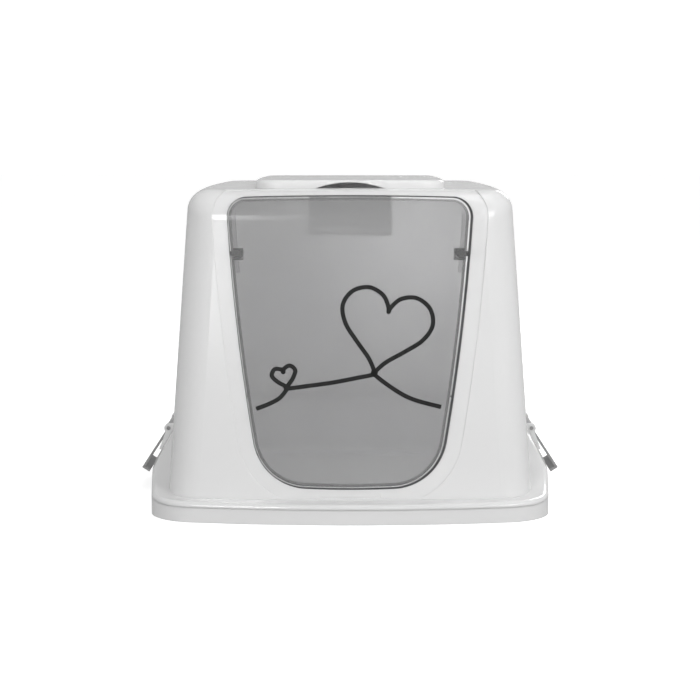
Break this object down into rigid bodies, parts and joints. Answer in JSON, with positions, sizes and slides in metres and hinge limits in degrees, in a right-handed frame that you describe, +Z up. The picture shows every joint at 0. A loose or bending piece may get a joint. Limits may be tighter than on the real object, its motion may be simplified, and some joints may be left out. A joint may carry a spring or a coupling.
{
  "type": "cat litter box with hood",
  "caption": "Hooded cat litter box: low basin, lift-off hood with a smoked swing door in its front, side clips and a filter under the roof.",
  "frame": {"origin": "on the floor, in the middle of the footprint", "axes": "+Z up, +Y from the door to the rear, +X to the right as seen from the door"},
  "size_m": [0.5074, 0.5299, 0.3775],
  "materials": {
    "hood_plastic": "injection-moulded polypropylene, smooth satin-gloss",
    "tray_plastic": "injection-moulded polypropylene, smooth satin-gloss",
    "clip_plastic": "injection-moulded polypropylene, smooth satin-gloss",
    "smoked_plastic": "smoke-tinted translucent polypropylene with a fine frosting",
    "pin_plastic": "moulded plastic",
    "dark_plastic": "moulded plastic, fine matt",
    "soft_rubber": "soft matt rubber",
    "charcoal": "charcoal-loaded felt"
  },
  "bodies": {
    "basin": {"tray": "tray_plastic"},
    "hood": {"hood": "hood_plastic", "hinge_socket_left": "hood_plastic", "hinge_socket_right": "hood_plastic", "door_buffer_left": "soft_rubber", "door_buffer_right": "soft_rubber", "lintel_stop": "soft_rubber", "filter_holder": "dark_plastic", "filter_cover": "dark_plastic", "filter_pad": "charcoal", "filter_grille": "dark_plastic"},
    "door": {"door_flap": "smoked_plastic", "hinge_pin_left": "pin_plastic", "hinge_pin_right": "pin_plastic"},
    "clip_left": {"side_clip_left": "clip_plastic"},
    "clip_right": {"side_clip_right": "clip_plastic"}
  },
  "joints": [
    {"name": "hood_lift", "type": "slide", "parent": "basin", "child": "hood", "axis": [0, 0, 1], "range_m": [0, 0.2]},
    {"name": "door_swing", "type": "hinge", "parent": "hood", "child": "door", "pos_m": [0, -0.193, 0.296], "axis": [1, 0, 0], "range_deg": [-70, 70]},
    {"name": "clip_left_turn", "type": "hinge", "parent": "hood", "child": "clip_left", "pos_m": [-0.22, -0.006, 0.076], "axis": [0, 1, 0], "range_deg": [-7, 70]},
    {"name": "clip_right_turn", "type": "hinge", "parent": "hood", "child": "clip_right", "pos_m": [0.22, -0.006, 0.076], "axis": [0, -1, 0], "range_deg": [-7, 70]}
  ]
}
